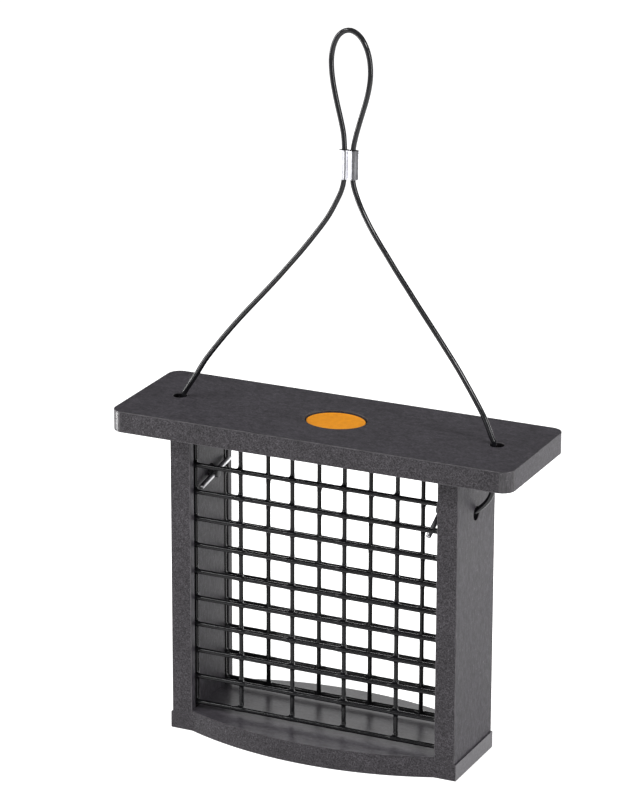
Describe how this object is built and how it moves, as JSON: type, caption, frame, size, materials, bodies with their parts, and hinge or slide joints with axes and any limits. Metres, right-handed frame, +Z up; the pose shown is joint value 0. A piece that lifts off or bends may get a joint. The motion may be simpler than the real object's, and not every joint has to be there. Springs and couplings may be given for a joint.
{
  "type": "hanging bird feeder",
  "caption": "Slim suet cake feeder: board sides and base, wire mesh windows front and back, sliding roof board on a cable hanger with a loop.",
  "frame": {"origin": "centre of the underside of the base board", "axes": "+X along the roof's length to the right, -Y is the front, +Z up"},
  "size_m": [0.1926, 0.067, 0.3235],
  "materials": {
    "recycled_board": "satin, fine grained, charcoal recycled plastic",
    "badge_enamel": "smooth gloss",
    "coated_wire": "glossy dipped vinyl coating on welded steel wire",
    "steel": "bright drawn wire",
    "crimped_aluminium": "bright, press marked",
    "blackened_crimp": "dull, oxide black",
    "cable_jacket": "glossy vinyl jacket over steel cable"
  },
  "bodies": {
    "feeder": {"base_board": "recycled_board", "side_board_left": "recycled_board", "side_board_right": "recycled_board", "mesh_front": "coated_wire", "mesh_rear": "coated_wire", "base_screws": "steel", "toggle_pin_left": "steel", "toggle_pin_right": "steel", "toggle_sleeve_left": "blackened_crimp", "toggle_sleeve_right": "blackened_crimp", "cable_tail_left": "cable_jacket", "cable_tail_right": "cable_jacket"},
    "roof": {"roof_board": "recycled_board", "badge": "badge_enamel"},
    "hanger": {"cable_strand_left": "cable_jacket", "cable_strand_right": "cable_jacket"},
    "loop": {"ferrule": "crimped_aluminium", "cable_loop": "cable_jacket"}
  },
  "joints": [
    {"name": "roof_lift", "type": "slide", "parent": "feeder", "child": "roof", "axis": [0, 0, 1], "range_m": [0, 0.045], "deforming": ["cable_tail_left", "cable_tail_right"]},
    {"name": "hanger_swing", "type": "hinge", "parent": "roof", "child": "hanger", "pos_m": [0, 0.0022, 0.1529], "axis": [1, 0, 0], "range_deg": [-68, 82], "stiffness_Nm_per_rad": 0.05},
    {"name": "loop_drop", "type": "slide", "parent": "hanger", "child": "loop", "axis": [0, 0.1219, 0.9925], "range_m": [-0.0585, 0], "deforming": ["cable_strand_left", "cable_strand_right"]}
  ],
  "couplings": [
    {"joint": "loop_drop", "follows": "roof_lift", "ratio": -1.3}
  ]
}
